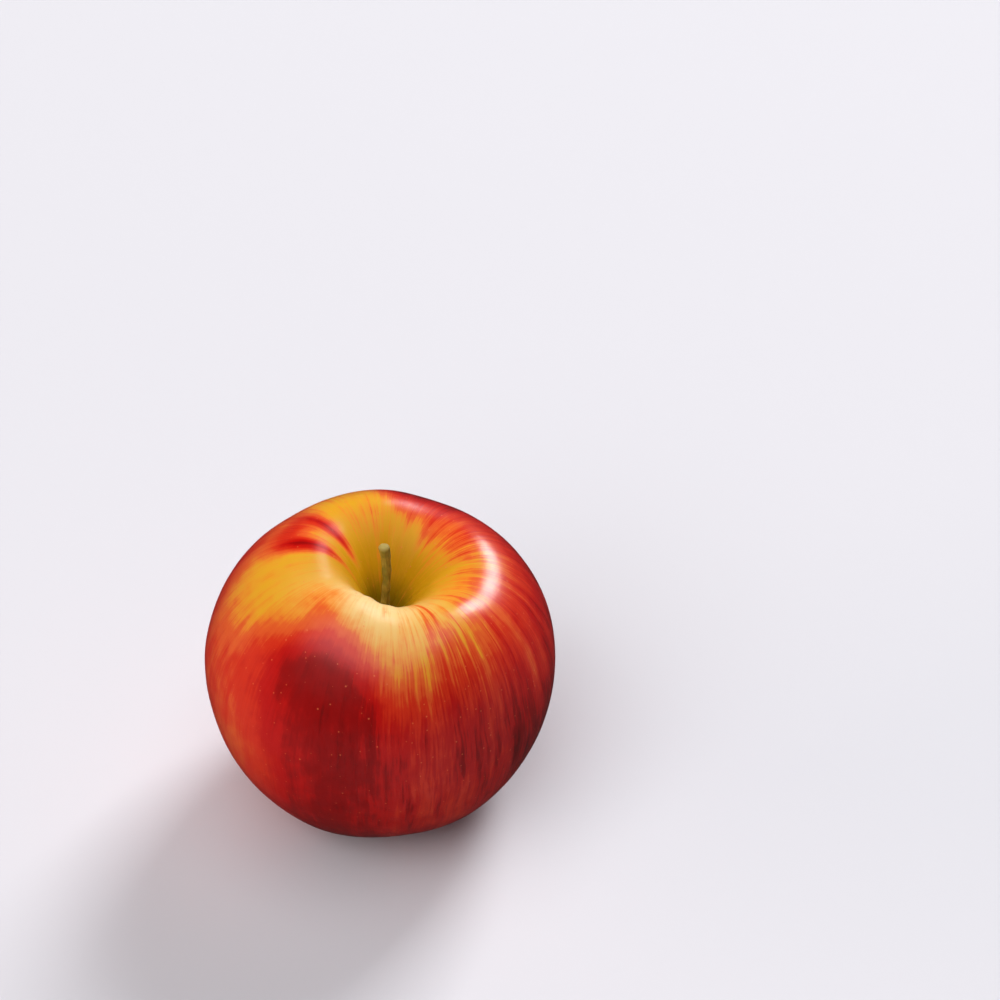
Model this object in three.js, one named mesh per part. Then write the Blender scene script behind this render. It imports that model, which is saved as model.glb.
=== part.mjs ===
// A ripe dessert apple with its stem and its dried calyx, standing on the lobes of its base.
//
// Units are millimetres and +Z is up. The origin lies on the surface that the apple stands on, in
// the middle of the ground that the fruit covers. The fruit is one solid of flesh and skin. The
// stem stands in a seat at the bottom of the stem cavity. Underneath, five dried sepals hang from
// the plate at the top of the calyx basin, round a tuft of dried stamens in the calyx tube.

import * as THREE from "three";

// --- Fruit: its round outline ---------------------------------------------------------------

const FRUIT_DIAMETER = 78;
const FRUIT_HEIGHT = 66; // from the resting surface to the shoulder's crest, before the head leans
const CHEEK_HEIGHT = 36; // where the fruit is widest
const SHOULDER_CREST_RADIUS = 19.5;
const BASE_CREST_RADIUS = 14;
const CAVITY_DEPTH = 18; // stem cavity, measured down from the shoulder's crest
const BASIN_DEPTH = 8; // calyx basin, measured up from the resting surface
const CALYX_PLATE_RADIUS = 4.8; // the flat top of the basin, where the sepals are joined
const PRESSED_DEPTH = 0.3; // how far the lobes' tips are flattened where they stand

// How far each stretch of the outline bulges: the Bezier handle's share of the way to the corner.
// A quarter of an ellipse has 0.55 at both ends.
const FULLNESS = {
  basinAtPlate: 0.35,
  basinAtCrest: 0.6,
  baseAtCrest: 0.42,
  baseAtCheek: 0.55,
  shoulderAtCheek: 0.5,
  shoulderAtCrest: 0.46,
  cavityAtCrest: 0.55,
  cavityAtSeat: 0.1,
};

// --- Fruit: how it differs from a round one ---------------------------------------------------

const RIB_COUNT = 5; // one for each seed chamber
const RIB_DIRECTION = THREE.MathUtils.degToRad(-50); // the way the first rib faces
const BASE_RIB_DEPTH = 1.6; // how far the base rises between its lobes
const SHOULDER_RIB_DEPTH = 1.3; // how far the shoulder drops between its ribs
const CHEEK_RIB_DEPTH = 0.15; // how far the cheeks draw in between the ribs
const OVALITY = 0.2; // the wide way's extra radius, and the narrow way's lack of it
const WIDE_DIRECTION = THREE.MathUtils.degToRad(20);
const LOW_DIRECTION = THREE.MathUtils.degToRad(10); // the way the head leans
const HEAD_TILT = THREE.MathUtils.degToRad(6.5); // the shoulder's slope
const LIP_DIRECTION = THREE.MathUtils.degToRad(-145); // the side where the cavity's wall is steepest
const LIP_INSET = 3; // how far the shoulder's crest is drawn in over the cavity there

// --- Stem ---------------------------------------------------------------------------------------

const STEM_LENGTH = 21; // above the cavity's floor
const STEM_FOOT_RADIUS = 1.9;
const STEM_WAIST_RADIUS = 0.95;
const STEM_TIP_RADIUS = 1.35;
const STEM_SEAT_DEPTH = 2.5;
const STEM_BEND = 2; // how far the tip hangs over
const STEM_BEND_DIRECTION = THREE.MathUtils.degToRad(165);

// --- Calyx ----------------------------------------------------------------------------------------

const SEPAL_COUNT = 5;
const SEPAL_LENGTH = 5.2;
const SEPAL_THICKNESS = 0.6;
const SEPAL_GAP = 0.5; // between neighbours, at the root
const SEPAL_CURL = 2.4; // how far a tip turns outwards
const CALYX_TUBE_RADIUS = 1.9;
const CALYX_TUBE_DEPTH = 3;
const STAMEN_TUFT_LENGTH = 5.5;

// The space left between a piece and the flesh that holds it.
const SEAT_CLEARANCE = 0.3;

// --- How finely the surfaces are divided -----------------------------------------------------------

const OUTLINE_STEPS = 12; // along each curved stretch of the fruit's outline
const FRUIT_SEGMENTS = 70; // around the fruit
const STEM_SEGMENTS = 14;
const SEPAL_SEGMENTS = 10;
const TUFT_SEGMENTS = 12;
const SPLINE_STEPS = 3; // between two points of a small piece's outline

// --- Places that more than one piece uses ---------------------------------------------------------

const FRUIT_RADIUS = FRUIT_DIAMETER / 2;
const CAVITY_FLOOR = FRUIT_HEIGHT - CAVITY_DEPTH;
const STEM_SEAT_RADIUS = STEM_FOOT_RADIUS + SEAT_CLEARANCE;

/** Eases from 0 at start to 1 at end. */
const ease = (value, start, end) => THREE.MathUtils.smoothstep(value, start, end);

/** From 1 along the middle of a rib to 0 in the valley between two. */
const ribHeight = (angle) => (1 + Math.cos(RIB_COUNT * (angle - RIB_DIRECTION))) / 2;

/** Adds a quarter turn from the path's end to a corner-cutting end point, as a Bezier curve. */
function quarterTurn(path, end, corner, startFullness, endFullness) {
  const start = path.currentPoint.clone();
  const leaving = start.clone().lerp(corner, startFullness);
  const arriving = end.clone().lerp(corner, endFullness);
  path.bezierCurveTo(leaving.x, leaving.y, arriving.x, arriving.y, end.x, end.y);
}

/** The fruit's round outline as (radius, height), from the calyx tube out and up to the stem's seat. */
function fruitOutline() {
  const plateEdge = new THREE.Vector2(CALYX_PLATE_RADIUS, BASIN_DEPTH);
  const baseCrest = new THREE.Vector2(BASE_CREST_RADIUS, -PRESSED_DEPTH);
  const cheek = new THREE.Vector2(FRUIT_RADIUS, CHEEK_HEIGHT);
  const shoulderCrest = new THREE.Vector2(SHOULDER_CREST_RADIUS, FRUIT_HEIGHT);
  const seatMouth = new THREE.Vector2(STEM_SEAT_RADIUS, CAVITY_FLOOR);
  const tubeTop = BASIN_DEPTH + CALYX_TUBE_DEPTH;
  const seatFloor = CAVITY_FLOOR - STEM_SEAT_DEPTH;
  const corner = (radius, height) => new THREE.Vector2(radius, height);

  const path = new THREE.Path();
  path.moveTo(0, tubeTop);
  path.lineTo(CALYX_TUBE_RADIUS, tubeTop);
  path.lineTo(CALYX_TUBE_RADIUS, BASIN_DEPTH);
  path.lineTo(plateEdge.x, plateEdge.y);
  quarterTurn(path, baseCrest, corner(plateEdge.x, baseCrest.y),
    FULLNESS.basinAtPlate, FULLNESS.basinAtCrest);
  quarterTurn(path, cheek, corner(cheek.x, baseCrest.y),
    FULLNESS.baseAtCrest, FULLNESS.baseAtCheek);
  quarterTurn(path, shoulderCrest, corner(cheek.x, shoulderCrest.y),
    FULLNESS.shoulderAtCheek, FULLNESS.shoulderAtCrest);
  quarterTurn(path, seatMouth, corner(seatMouth.x, shoulderCrest.y),
    FULLNESS.cavityAtCrest, FULLNESS.cavityAtSeat);
  path.lineTo(STEM_SEAT_RADIUS, seatFloor);
  path.lineTo(0, seatFloor);
  return path.getPoints(OUTLINE_STEPS);
}

/** Turns an outline of (radius, height) points into a closed solid round the Z axis. */
function turned(outline, segments) {
  return new THREE.LatheGeometry(outline, segments).rotateX(Math.PI / 2);
}

/** Turns a small piece's outline, smoothed through its points, into a closed solid. */
function turnedSpline(points, segments) {
  const curve = new THREE.SplineCurve(points.map(([radius, height]) => new THREE.Vector2(radius, height)));
  const outline = curve.getPoints(SPLINE_STEPS * (points.length - 1));
  outline.forEach((point) => { point.x = Math.max(point.x, 0); });
  outline[0].x = 0;
  outline[outline.length - 1].x = 0;
  return turned(outline, segments);
}

/** Moves every vertex of a geometry by a function that changes a Vector3. */
function reshape(geometry, change) {
  const position = geometry.getAttribute("position");
  const point = new THREE.Vector3();
  for (let i = 0; i < position.count; i += 1) {
    change(point.fromBufferAttribute(position, i));
    position.setXYZ(i, point.x, point.y, point.z);
  }
  geometry.computeVertexNormals();
  return geometry;
}

/** Gives a point of the round fruit its ribs and its oval section. */
function growRibs(point) {
  const radius = Math.hypot(point.x, point.y);
  const angle = Math.atan2(point.y, point.x);
  const valley = 1 - ribHeight(angle);
  const isUpper = point.z > CHEEK_HEIGHT;
  const coreRadius = isUpper ? STEM_SEAT_RADIUS : CALYX_PLATE_RADIUS;
  const crestRadius = isUpper ? SHOULDER_CREST_RADIUS : BASE_CREST_RADIUS;
  const toCrest = ease(radius, coreRadius, crestRadius);
  const toCheek = ease(radius, crestRadius, FRUIT_RADIUS);

  const lip = isUpper ? LIP_INSET * Math.max(Math.cos(angle - LIP_DIRECTION), 0) : 0;
  const outward = toCheek
    * (OVALITY * Math.cos(2 * (angle - WIDE_DIRECTION)) - CHEEK_RIB_DEPTH * valley)
    - lip * toCrest * (1 - toCheek);
  point.x += outward * Math.cos(angle);
  point.y += outward * Math.sin(angle);
  point.z += toCrest * (1 - toCheek) * valley * (isUpper ? -SHOULDER_RIB_DEPTH : BASE_RIB_DEPTH);
}

/** Leans the head of the apple to its low side: all of it at the top, and nothing at the base. */
function leanHead(point) {
  const tilt = HEAD_TILT * ease(point.z, 0, FRUIT_HEIGHT);
  const upFromCheek = point.z - CHEEK_HEIGHT;
  const across = point.x * Math.cos(LOW_DIRECTION) + point.y * Math.sin(LOW_DIRECTION);
  const shift = across * (Math.cos(tilt) - 1) + upFromCheek * Math.sin(tilt);
  point.x += shift * Math.cos(LOW_DIRECTION);
  point.y += shift * Math.sin(LOW_DIRECTION);
  point.z = CHEEK_HEIGHT + upFromCheek * Math.cos(tilt) - across * Math.sin(tilt);
}

/** The flesh and skin, with its cavity, its basin and the flat spots that it stands on. */
function makeFruit() {
  const round = turned(fruitOutline(), FRUIT_SEGMENTS);
  return reshape(round, (point) => {
    growRibs(point);
    leanHead(point);
    point.z = Math.max(point.z, 0);
  });
}

/** The woody stem: a flared foot in its seat, a slim waist and a thicker end where it came off. */
function makeStem() {
  const bottom = SEAT_CLEARANCE - STEM_SEAT_DEPTH;
  const stem = turnedSpline([
    [0, bottom],
    [STEM_FOOT_RADIUS * 0.8, bottom],
    [STEM_FOOT_RADIUS, bottom / 2],
    [STEM_FOOT_RADIUS * 0.85, STEM_LENGTH * 0.05],
    [STEM_WAIST_RADIUS * 1.15, STEM_LENGTH * 0.25],
    [STEM_WAIST_RADIUS, STEM_LENGTH * 0.55],
    [STEM_WAIST_RADIUS * 1.1, STEM_LENGTH * 0.8],
    [STEM_TIP_RADIUS, STEM_LENGTH * 0.95],
    [STEM_TIP_RADIUS * 0.8, STEM_LENGTH],
    [0, STEM_LENGTH],
  ], STEM_SEGMENTS);
  return reshape(stem, (point) => {
    const bend = STEM_BEND * (Math.max(point.z, 0) / STEM_LENGTH) ** 2;
    point.x += bend * Math.cos(STEM_BEND_DIRECTION);
    point.y += bend * Math.sin(STEM_BEND_DIRECTION);
    point.z += CAVITY_FLOOR;
    leanHead(point);
  });
}

/** One dried sepal: a pointed leaf that hangs from the calyx plate and turns its tip outwards. */
function makeSepal(angle) {
  const ringRadius = (CALYX_TUBE_RADIUS + CALYX_PLATE_RADIUS) / 2;
  const width = 2 * ringRadius * Math.sin(Math.PI / SEPAL_COUNT) - SEPAL_GAP;
  const leaf = turnedSpline([
    [0, 0],
    [width * 0.4, 0.1],
    [width * 0.5, SEPAL_LENGTH * 0.3],
    [width * 0.36, SEPAL_LENGTH * 0.6],
    [width * 0.16, SEPAL_LENGTH * 0.85],
    [0, SEPAL_LENGTH],
  ], SEPAL_SEGMENTS);
  // The leaf stands up along Z, wide across Y. It is thinned along X, curled, and hung upside down.
  return reshape(leaf, (point) => {
    const along = point.z / SEPAL_LENGTH;
    const outward = point.x * (SEPAL_THICKNESS / width) + SEPAL_CURL * along ** 2;
    const radius = ringRadius + outward;
    const across = -point.y;
    point.set(
      radius * Math.cos(angle) - across * Math.sin(angle),
      radius * Math.sin(angle) + across * Math.cos(angle),
      BASIN_DEPTH - SEAT_CLEARANCE - point.z,
    );
    leanHead(point);
  });
}

/** The dried stamens and styles: one tapering tuft, standing in the calyx tube. */
function makeStamenTuft() {
  const footRadius = CALYX_TUBE_RADIUS - SEAT_CLEARANCE;
  const top = BASIN_DEPTH + CALYX_TUBE_DEPTH - SEAT_CLEARANCE;
  const tuft = turnedSpline([
    [0, top - STAMEN_TUFT_LENGTH],
    [footRadius * 0.55, top - STAMEN_TUFT_LENGTH],
    [footRadius * 0.8, top - STAMEN_TUFT_LENGTH * 0.6],
    [footRadius * 0.95, top - STAMEN_TUFT_LENGTH * 0.2],
    [footRadius * 0.8, top],
    [0, top],
  ], TUFT_SEGMENTS);
  return reshape(tuft, leanHead);
}

// --- The apple -----------------------------------------------------------------------------------

const skin = new THREE.MeshStandardMaterial({ color: "#b3241c", roughness: 0.35, metalness: 0 });
const bark = new THREE.MeshStandardMaterial({ color: "#7d6426", roughness: 0.8, metalness: 0 });
const dryLeaf = new THREE.MeshStandardMaterial({ color: "#6e5836", roughness: 0.9, metalness: 0 });
const dryThread = new THREE.MeshStandardMaterial({ color: "#3f2c1a", roughness: 0.9, metalness: 0 });

/** One named piece of the apple. */
function piece(name, geometry, material) {
  const mesh = new THREE.Mesh(geometry, material);
  mesh.name = name;
  return mesh;
}

const fruit = piece("fruit", makeFruit(), skin);
const apple = new THREE.Group();
apple.name = "apple";
apple.add(fruit);
apple.add(piece("stem", makeStem(), bark));
for (let i = 0; i < SEPAL_COUNT; i += 1) {
  const angle = RIB_DIRECTION + (2 * Math.PI * (i + 0.5)) / SEPAL_COUNT;
  apple.add(piece(`sepal_${i + 1}`, makeSepal(angle), dryLeaf));
}
apple.add(piece("dried_stamens", makeStamenTuft(), dryThread));

// The fruit is uneven, so its middle is found from its own bounds and brought over the origin.
fruit.geometry.computeBoundingBox();
const middle = fruit.geometry.boundingBox.getCenter(new THREE.Vector3());
apple.position.set(-middle.x, -middle.y, 0);

export default apple;
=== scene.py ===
"""A ripe dessert apple: waxed, blushed skin, a woody stem and the dried calyx under it.

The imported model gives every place. The fruit is a smoothed copy of its solid with the fine relief
of real skin, and the stem, the sepals and the stamens are modelled where their solids stand.
All lengths are in metres unless a name ends in _mm, and angles in degrees unless one ends in _rad.
"""

import logging
import math
import random
from collections.abc import Sequence
from contextlib import contextmanager
from dataclasses import dataclass, field
from enum import Enum
from typing import Any, Iterator

import bpy
import numpy as np
from mathutils import Matrix, Vector, noise


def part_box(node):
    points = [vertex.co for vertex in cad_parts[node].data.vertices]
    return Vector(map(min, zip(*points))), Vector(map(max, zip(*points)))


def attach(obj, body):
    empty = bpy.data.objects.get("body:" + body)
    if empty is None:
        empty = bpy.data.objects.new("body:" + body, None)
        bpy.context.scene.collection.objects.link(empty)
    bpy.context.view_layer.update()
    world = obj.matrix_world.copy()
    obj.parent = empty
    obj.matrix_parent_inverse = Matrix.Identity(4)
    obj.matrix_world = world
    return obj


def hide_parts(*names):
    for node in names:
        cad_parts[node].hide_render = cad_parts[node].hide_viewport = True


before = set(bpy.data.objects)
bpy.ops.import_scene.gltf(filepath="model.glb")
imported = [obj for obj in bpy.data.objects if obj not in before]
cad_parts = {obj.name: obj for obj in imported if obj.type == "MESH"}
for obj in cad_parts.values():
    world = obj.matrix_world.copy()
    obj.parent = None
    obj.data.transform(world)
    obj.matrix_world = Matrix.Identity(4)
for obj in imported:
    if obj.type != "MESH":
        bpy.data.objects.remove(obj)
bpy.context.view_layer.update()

LOG = logging.getLogger("apple")
MM = 0.001
BODY = "root"
SHARE, UNDER, OVER = 0, 6, 7  # the inputs of a colour Mix node, which share their names with others
MIDDLE = 0.5  # the middle of a noise texture's values


class Slot(Enum):
    """The record's material slots."""

    SKIN = "apple_skin"
    BARK = "stem_bark"
    SEPAL = "dry_sepal"
    STAMEN = "dry_stamen"


class Light(Enum):
    """The studio's soft boxes, by where they stand."""

    WINDOW = "window_at_the_right_back"
    OVERHEAD = "overhead"
    FRONT = "above_the_front_left"
    LEFT = "left"


# --- Colour and node helpers ----------------------------------------------------------------------


def linear(colour: str, alpha: float = 1.0) -> tuple[float, float, float, float]:
    """Turns an sRGB hex colour into the linear values that a shader takes.

    Args:
        colour: six hex digits, with or without a leading #.
        alpha: the fourth value.

    Returns:
        Red, green, blue and alpha.
    """
    digits = colour.lstrip("#")
    channels = [int(digits[i:i + 2], 16) / 255 for i in (0, 2, 4)]
    red, green, blue = (c / 12.92 if c <= 0.04045 else ((c + 0.055) / 1.055) ** 2.4 for c in channels)
    return red, green, blue, alpha


def add(tree: bpy.types.NodeTree, kind: str, inputs: dict[str | int, Any] | None = None,
        stops: Sequence[tuple[float, str]] = (), **settings: Any) -> bpy.types.Node:
    """Adds a node, sets its properties and fills its inputs.

    Args:
        tree: the node tree of a material or of the world.
        kind: the node's type name, without the leading ShaderNode.
        inputs: input name or number to a value, or to the node or the output socket that feeds it.
            A node feeds it from the first of its outputs in use.
        stops: a colour ramp's places from 0 to 1 and sRGB hex colours, in order.
        settings: the node's own properties.

    Returns:
        The new node.
    """
    node = tree.nodes.new(f"ShaderNode{kind}")
    for name, value in settings.items():
        setattr(node, name, value)
    for key, value in (inputs or {}).items():
        if isinstance(value, bpy.types.Node):
            value = next(socket for socket in value.outputs if socket.enabled)
        if isinstance(value, bpy.types.NodeSocket):
            tree.links.new(value, node.inputs[key])
        else:
            node.inputs[key].default_value = value
    if stops:
        node.color_ramp.interpolation = "EASE"
        elements = node.color_ramp.elements
        while len(elements) < len(stops):
            elements.new(0.5)
        for element, (share, colour) in zip(elements, stops):
            element.position = share
            element.color = linear(colour)
    return node


def new_material(name: str) -> tuple[bpy.types.Material, bpy.types.NodeTree]:
    """Makes an empty node material.

    Args:
        name: the material's name.

    Returns:
        The material and its node tree.
    """
    material = bpy.data.materials.new(name)
    material.use_nodes = True
    material.node_tree.nodes.clear()
    return material, material.node_tree


# --- Mesh helpers -----------------------------------------------------------------------------------


def take_alone(piece: bpy.types.Object) -> None:
    """Selects one object and nothing else, and makes it the active one.

    Args:
        piece: the object.
    """
    bpy.ops.object.select_all(action="DESELECT")
    piece.select_set(True)
    bpy.context.view_layer.objects.active = piece


@contextmanager
def editing(piece: bpy.types.Object) -> Iterator[None]:
    """Opens an object in edit mode with all of it selected, and closes it again.

    Args:
        piece: the mesh object.
    """
    take_alone(piece)
    bpy.ops.object.mode_set(mode="EDIT")
    bpy.ops.mesh.select_all(action="SELECT")
    yield
    bpy.ops.object.mode_set(mode="OBJECT")


def apply_subdivision(piece: bpy.types.Object, levels: int) -> None:
    """Smooths a mesh by Catmull-Clark subdivision and keeps the result.

    Args:
        piece: the mesh object.
        levels: how many times each face is divided.
    """
    take_alone(piece)
    modifier = piece.modifiers.new("smooth", "SUBSURF")
    modifier.levels = levels
    modifier.render_levels = levels
    bpy.ops.object.modifier_apply(modifier=modifier.name)


def points_of(piece: bpy.types.Object) -> np.ndarray:
    """Reads where a mesh's vertices are.

    Args:
        piece: the mesh object.

    Returns:
        Rows of x, y and z.
    """
    flat = np.empty(len(piece.data.vertices) * 3)
    piece.data.vertices.foreach_get("co", flat)
    return flat.reshape(-1, 3)


def normals_of(piece: bpy.types.Object) -> np.ndarray:
    """Reads which way a mesh's surface faces at each vertex.

    Args:
        piece: the mesh object.

    Returns:
        Rows of x, y and z, each one long.
    """
    flat = np.empty(len(piece.data.vertices) * 3)
    piece.data.vertices.foreach_get("normal", flat)
    return flat.reshape(-1, 3)


def set_points(piece: bpy.types.Object, points: np.ndarray) -> None:
    """Puts a mesh's vertices at new places."""
    piece.data.vertices.foreach_set("co", points.ravel())
    piece.data.update()


def add_attribute(piece: bpy.types.Object, name: str, values: np.ndarray) -> None:
    """Stores a value, or a row of three, on each vertex of a mesh.

    Args:
        piece: the mesh object.
        name: the attribute's name, as its material reads it.
        values: one number for each vertex, or three.
    """
    is_vector = values.ndim == 2
    layer = piece.data.attributes.new(name, "FLOAT_VECTOR" if is_vector else "FLOAT", "POINT")
    layer.data.foreach_set("vector" if is_vector else "value", values.astype(np.float32).ravel())


def smooth_noise(points: np.ndarray, size: float | Sequence[float], seed: float = 0.0) -> np.ndarray:
    """Gives smooth noise from about -1 to 1 at each point.

    Args:
        points: rows of x, y and z.
        size: how large its features are, in the points' own unit, alike or for each axis.
        seed: shifts the pattern.

    Returns:
        One value for each point.
    """
    scaled = points / np.asarray(size) + seed
    return np.array([noise.noise(row) for row in scaled.tolist()])


@dataclass(frozen=True)
class Unevenness:
    """One kind of smooth unevenness: how far it moves a surface at most, how large its features
    are, in the unit of the points it is worked out from, and where its noise starts.
    """

    depth_mm: float
    size: float | tuple[float, float, float]
    seed: float = 0.0

    def at(self, points: np.ndarray) -> np.ndarray:
        """Gives the move at each point, in metres."""
        return self.depth_mm * MM * smooth_noise(points, self.size, self.seed)


def ease(value: np.ndarray, start: float, end: float) -> np.ndarray:
    """Passes smoothly from 0 to 1.

    Args:
        value: what it follows.
        start: the value up to which it is 0.
        end: the value from which it is 1.

    Returns:
        One share for each value.
    """
    share = np.clip((value - start) / (end - start), 0, 1)
    return share * share * (3 - 2 * share)


def extrude_to(here: Vector, there: Vector, size: Sequence[float]) -> None:
    """Extrudes the selected face and sizes it round its new middle.

    Args:
        here: the middle of the face.
        there: where its middle goes.
        size: how much larger it gets along x, y and z.
    """
    bpy.ops.mesh.extrude_region_move(TRANSFORM_OT_translate={"value": there - here})
    bpy.ops.transform.resize(value=size, center_override=there)


def close_shell() -> None:
    """Turns every face of the mesh being edited outwards."""
    bpy.ops.mesh.select_all(action="SELECT")
    bpy.ops.mesh.normals_make_consistent(inside=False)


def grow_stalk(name: str, route: Sequence[Vector], radii: Sequence[float],
               sides: int) -> bpy.types.Object:
    """Models an upright or hanging stalk: a disc, extruded and sized from point to point.

    Args:
        name: the object's name.
        route: the points along its middle.
        radii: the stalk's radius at each point.
        sides: how many sides its section has.

    Returns:
        The stalk, closed at both ends, with its place in its mesh.
    """
    bpy.ops.object.select_all(action="DESELECT")
    bpy.ops.mesh.primitive_circle_add(vertices=sides, radius=radii[0], fill_type="NGON", location=route[0])
    stalk = bpy.context.object
    stalk.name = name
    bpy.ops.object.transform_apply(location=True, rotation=True, scale=True)
    with editing(stalk):
        for i in range(1, len(route)):
            extrude_to(route[i - 1], route[i], (radii[i] / radii[i - 1],) * 3)
        close_shell()
    return stalk


def place(piece: bpy.types.Object, material: bpy.types.Material, slot: Slot,
          *nodes: str) -> None:
    """Dresses a finished piece, hangs it on the apple's body and hides the solids that it stands for.

    Args:
        piece: the finished mesh.
        material: its finish.
        slot: not used.
        nodes: the solids that it stands for.
    """
    take_alone(piece)
    bpy.ops.object.shade_smooth()
    piece.data.materials.clear()
    piece.data.materials.append(material)
    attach(piece, BODY)
    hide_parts(*nodes)
    LOG.info("%s: %d faces", piece.name, len(piece.data.polygons))


# --- How the fruit grew ---------------------------------------------------------------------------


@dataclass
class Growth:
    """The fruit's own map: how far round the core a point is, and how far from stem to calyx.

    A section through half of the fruit is a loop round a point inside the flesh. Seen from there, a
    point's lift turns from about 140 degrees at the stem, through 90 at the shoulder's crest and
    10 at the cheek, to about -120 at the calyx.
    """

    solid: bpy.types.Object
    sectors: int = 36  # the shoulder's crest is looked for in each
    standing_mm: float = 0.01  # what is this low stands on the table
    shoulder_share: float = 0.85  # what is higher than this share of the fruit may be the crest
    top_share: float = 1.1
    eye_radius_share: float = 0.5
    eye_height_share: float = 0.5
    lift_at_stem: float = 150.0
    lift_at_calyx: float = -140.0
    past_calyx: float = 20.0  # how far past the calyx a lift still counts down
    core_bend: float = 3.0
    radius: float = field(init=False)
    height: float = field(init=False)
    base: np.ndarray = field(init=False)
    crest: np.ndarray = field(init=False)
    plane: np.ndarray = field(init=False)

    def __post_init__(self) -> None:
        """Measures the base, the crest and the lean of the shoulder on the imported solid."""
        points = points_of(self.solid)
        low, high = points.min(0), points.max(0)
        self.radius = float(high[0] - low[0]) / 2
        standing = points[points[:, 2] < self.standing_mm * MM]
        self.base = standing[:, :2].mean(0)
        upper = points[points[:, 2] > self.shoulder_share * high[2]]
        round_axis = np.arctan2(upper[:, 1], upper[:, 0])
        sector = ((round_axis + math.pi) / (2 * math.pi) * self.sectors).astype(int) % self.sectors
        peaks = np.array([
            upper[sector == k][upper[sector == k][:, 2].argmax()]
            for k in range(self.sectors) if (sector == k).any()
        ])
        self.crest = peaks[:, :2].mean(0)
        columns = np.column_stack([np.ones(len(peaks)), peaks[:, :2]])
        self.plane = np.linalg.lstsq(columns, peaks[:, 2], rcond=None)[0]
        self.height = float(self.plane @ [1, *self.crest])

    def locate(self, points: np.ndarray) -> tuple[np.ndarray, np.ndarray]:
        """Finds each point on the map.

        Args:
            points: rows of x, y and z.

        Returns:
            Each point's angle round the core and its lift, both in degrees.
        """
        top = self.plane[0] + points[:, :2] @ self.plane[1:]
        share = np.clip(points[:, 2] / top, 0, self.top_share)
        core = self.base + (self.crest - self.base) * (share ** self.core_bend)[:, None]
        away = points[:, :2] - core
        distance = np.hypot(away[:, 0], away[:, 1])
        angle = np.degrees(np.arctan2(away[:, 1], away[:, 0]))
        up = share * self.height - self.eye_height_share * self.height
        lift = np.degrees(np.arctan2(up, distance - self.eye_radius_share * self.radius))
        lift = np.where(lift < self.lift_at_calyx - self.past_calyx, lift + 360, lift)
        return angle, lift

    def descent(self, lift: np.ndarray) -> np.ndarray:
        """Turns a lift into the share of the way from the stem to the calyx."""
        return (self.lift_at_stem - lift) / (self.lift_at_stem - self.lift_at_calyx)


@dataclass(frozen=True)
class Side:
    """How the sun has coloured one side of the fruit; on the back right of the shoulder the red also
    stands for painted shadow.

    Angles are round the core, and places from the stem to the calyx are shares of the way. The red
    is half there at climb, and comes in from fade before it to fade after it.
    """

    angle: float
    climb: float
    fade: float
    pigment: float
    streaks: float


@dataclass(frozen=True)
class Patch:
    """A soft-edged patch of skin with a little more or less colour than the rest of its side."""

    angle: float
    descent: float
    across: float
    along: float
    strength: float

    def on(self, angle: np.ndarray, descent: np.ndarray) -> np.ndarray:
        """Works out how much of the patch is at each place on the map.

        Args:
            angle: each point's angle round the core.
            descent: each point's share of the way from stem to calyx.

        Returns:
            Its strength in the middle, falling softly to 0.
        """
        aside = (angle - self.angle + 180) % 360 - 180
        away = (aside / self.across) ** 2 + ((descent - self.descent) / self.along) ** 2
        return self.strength * np.exp(-away)


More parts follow.
